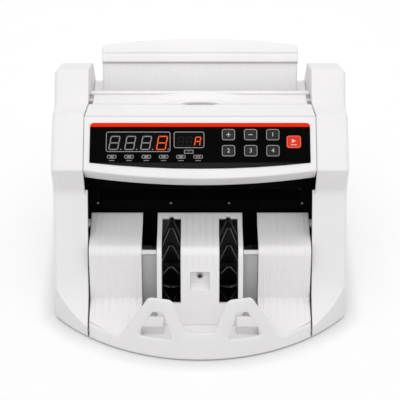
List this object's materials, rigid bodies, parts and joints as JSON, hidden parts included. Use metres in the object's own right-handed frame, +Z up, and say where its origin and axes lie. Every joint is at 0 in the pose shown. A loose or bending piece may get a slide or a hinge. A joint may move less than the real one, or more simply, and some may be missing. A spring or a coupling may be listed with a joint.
{
  "type": "banknote counting machine",
  "caption": "Desk machine that counts banknotes: rear hopper with hinged cover and flap, sloping key panel with displays, vaned stacker wheels, and a note tray behind a humped fence.",
  "frame": {"origin": "centre of the bounding box in plan, on the plane of the rubber feet", "axes": "+X to the operator's right, +Y towards the back, +Z up"},
  "size_m": [0.242, 0.24, 0.1839],
  "materials": {
    "white_plastic": "fine matte",
    "foot_rubber": "matte",
    "panel_film": "satin film",
    "display_glass": "smoked gloss",
    "lamp_plastic": "milky",
    "key_plastic": "satin",
    "red_plastic": "satin",
    "circuit_board": "satin",
    "channel_steel": "dull",
    "sensor_chrome": "polished",
    "black_steel": "matte",
    "bright_steel": "ground",
    "bush_bronze": "sintered",
    "roller_rubber": "matte",
    "impeller_rubber": "satin",
    "pulley_plastic": "satin",
    "motor_can": "plated",
    "belt_rubber": "matte",
    "core_iron": "varnished",
    "black_plastic": "fine texture",
    "rocker_plastic": "gloss"
  },
  "bodies": {
    "machine": {"right_cheek": "white_plastic", "left_cheek": "white_plastic", "base_tray": "white_plastic", "panel_housing": "white_plastic", "hopper_bar": "white_plastic", "hopper_floor": "white_plastic", "stacker_plate_right": "white_plastic", "stacker_plate_left": "white_plastic", "stacker_plate_centre": "white_plastic", "rear_cover": "white_plastic", "rubber_feet": "foot_rubber", "panel_film": "panel_film", "count_display": "display_glass", "batch_display": "display_glass", "indicator_lamps": "lamp_plastic", "display_board": "circuit_board", "main_board": "circuit_board", "channel_plates": "channel_steel", "stacker_sensor": "sensor_chrome", "exit_guide": "black_steel", "frame_right": "black_steel", "frame_left": "black_steel", "tie_rods": "bright_steel", "case_screws": "bright_steel", "shaft_bushes": "bush_bronze", "retard_rollers": "roller_rubber", "main_motor": "motor_can", "stacker_motor": "motor_can", "drive_belt": "belt_rubber", "timing_belt": "belt_rubber", "stacker_belt": "belt_rubber", "transformer": "core_iron", "power_inlet": "black_plastic", "switch_body": "black_plastic"},
    "hopper_cover": {"hopper_cover": "white_plastic"},
    "hopper_flap": {"hopper_flap": "white_plastic"},
    "impeller": {"impeller_shaft": "bright_steel", "impeller_right": "impeller_rubber", "impeller_left": "impeller_rubber", "impeller_pulley": "pulley_plastic"},
    "stacker_motor_rotor": {"stacker_motor_pulley": "bright_steel"},
    "feed": {"feed_shaft": "bright_steel", "feed_rollers": "roller_rubber", "feed_pulleys": "pulley_plastic"},
    "main_motor_rotor": {"main_motor_pulley": "bright_steel"},
    "pickup": {"pickup_shaft": "bright_steel", "pickup_rollers": "roller_rubber"},
    "transport": {"transport_shaft": "bright_steel", "transport_rollers": "roller_rubber"},
    "pinch": {"pinch_shaft": "bright_steel", "pinch_rollers": "roller_rubber"},
    "switch_rocker": {"switch_rocker": "rocker_plastic"},
    "gap_knob": {"gap_knob": "black_plastic"},
    "key_upper_1": {"key_upper_1": "key_plastic"},
    "key_upper_2": {"key_upper_2": "key_plastic"},
    "key_upper_3": {"key_upper_3": "key_plastic"},
    "key_lower_1": {"key_lower_1": "key_plastic"},
    "key_lower_2": {"key_lower_2": "key_plastic"},
    "key_lower_3": {"key_lower_3": "key_plastic"},
    "red_key": {"red_key": "red_plastic"}
  },
  "joints": [
    {"name": "feed_spin", "type": "hinge", "parent": "machine", "child": "feed", "pos_m": [0, 0.036, 0.108], "axis": [1, 0, 0], "continuous": true},
    {"name": "main_motor_spin", "type": "hinge", "parent": "machine", "child": "main_motor_rotor", "pos_m": [0, 0.078, 0.04], "axis": [1, 0, 0], "continuous": true},
    {"name": "pickup_spin", "type": "hinge", "parent": "machine", "child": "pickup", "pos_m": [0, 0.062, 0.1206], "axis": [1, 0, 0], "continuous": true},
    {"name": "transport_spin", "type": "hinge", "parent": "machine", "child": "transport", "pos_m": [0, 0.012, 0.086], "axis": [1, 0, 0], "continuous": true},
    {"name": "pinch_spin", "type": "hinge", "parent": "machine", "child": "pinch", "pos_m": [0, 0.0005, 0.0975], "axis": [1, 0, 0], "continuous": true},
    {"name": "impeller_spin", "type": "hinge", "parent": "machine", "child": "impeller", "pos_m": [0, -0.038, 0.041], "axis": [1, 0, 0], "continuous": true},
    {"name": "stacker_motor_spin", "type": "hinge", "parent": "machine", "child": "stacker_motor_rotor", "pos_m": [0, 0.02, 0.034], "axis": [1, 0, 0], "continuous": true},
    {"name": "cover_hinge", "type": "hinge", "parent": "machine", "child": "hopper_cover", "pos_m": [0, 0.031, 0.1564], "axis": [-1, 0, 0], "range_deg": [0, 60]},
    {"name": "flap_hinge", "type": "hinge", "parent": "machine", "child": "hopper_flap", "pos_m": [0, 0.0725, 0.138], "axis": [-1, 0, 0], "range_deg": [0, 30]},
    {"name": "rocker_tip", "type": "hinge", "parent": "machine", "child": "switch_rocker", "pos_m": [0.022, 0.109, 0.036], "axis": [1, 0, 0], "range_deg": [-8, 8]},
    {"name": "knob_turn", "type": "hinge", "parent": "machine", "child": "gap_knob", "pos_m": [0.04, 0.112, 0.104], "axis": [0, 1, 0], "range_deg": [-170, 170]},
    {"name": "key_upper_1_press", "type": "slide", "parent": "machine", "child": "key_upper_1", "axis": [0, 0.6691, -0.7431], "range_m": [0, 0.0008], "stiffness_N_per_m": 1500},
    {"name": "key_upper_2_press", "type": "slide", "parent": "machine", "child": "key_upper_2", "axis": [0, 0.6691, -0.7431], "range_m": [0, 0.0008], "stiffness_N_per_m": 1500},
    {"name": "key_upper_3_press", "type": "slide", "parent": "machine", "child": "key_upper_3", "axis": [0, 0.6691, -0.7431], "range_m": [0, 0.0008], "stiffness_N_per_m": 1500},
    {"name": "key_lower_1_press", "type": "slide", "parent": "machine", "child": "key_lower_1", "axis": [0, 0.6691, -0.7431], "range_m": [0, 0.0008], "stiffness_N_per_m": 1500},
    {"name": "key_lower_2_press", "type": "slide", "parent": "machine", "child": "key_lower_2", "axis": [0, 0.6691, -0.7431], "range_m": [0, 0.0008], "stiffness_N_per_m": 1500},
    {"name": "key_lower_3_press", "type": "slide", "parent": "machine", "child": "key_lower_3", "axis": [0, 0.6691, -0.7431], "range_m": [0, 0.0008], "stiffness_N_per_m": 1500},
    {"name": "red_key_press", "type": "slide", "parent": "machine", "child": "red_key", "axis": [0, 0.6691, -0.7431], "range_m": [0, 0.0008], "stiffness_N_per_m": 1500}
  ],
  "couplings": [
    {"joint": "main_motor_spin", "follows": "feed_spin", "ratio": 1.5556},
    {"joint": "pickup_spin", "follows": "feed_spin", "ratio": 1},
    {"joint": "transport_spin", "follows": "feed_spin", "ratio": 1},
    {"joint": "pinch_spin", "follows": "feed_spin", "ratio": -1.6667},
    {"joint": "stacker_motor_spin", "follows": "impeller_spin", "ratio": 1.5}
  ]
}
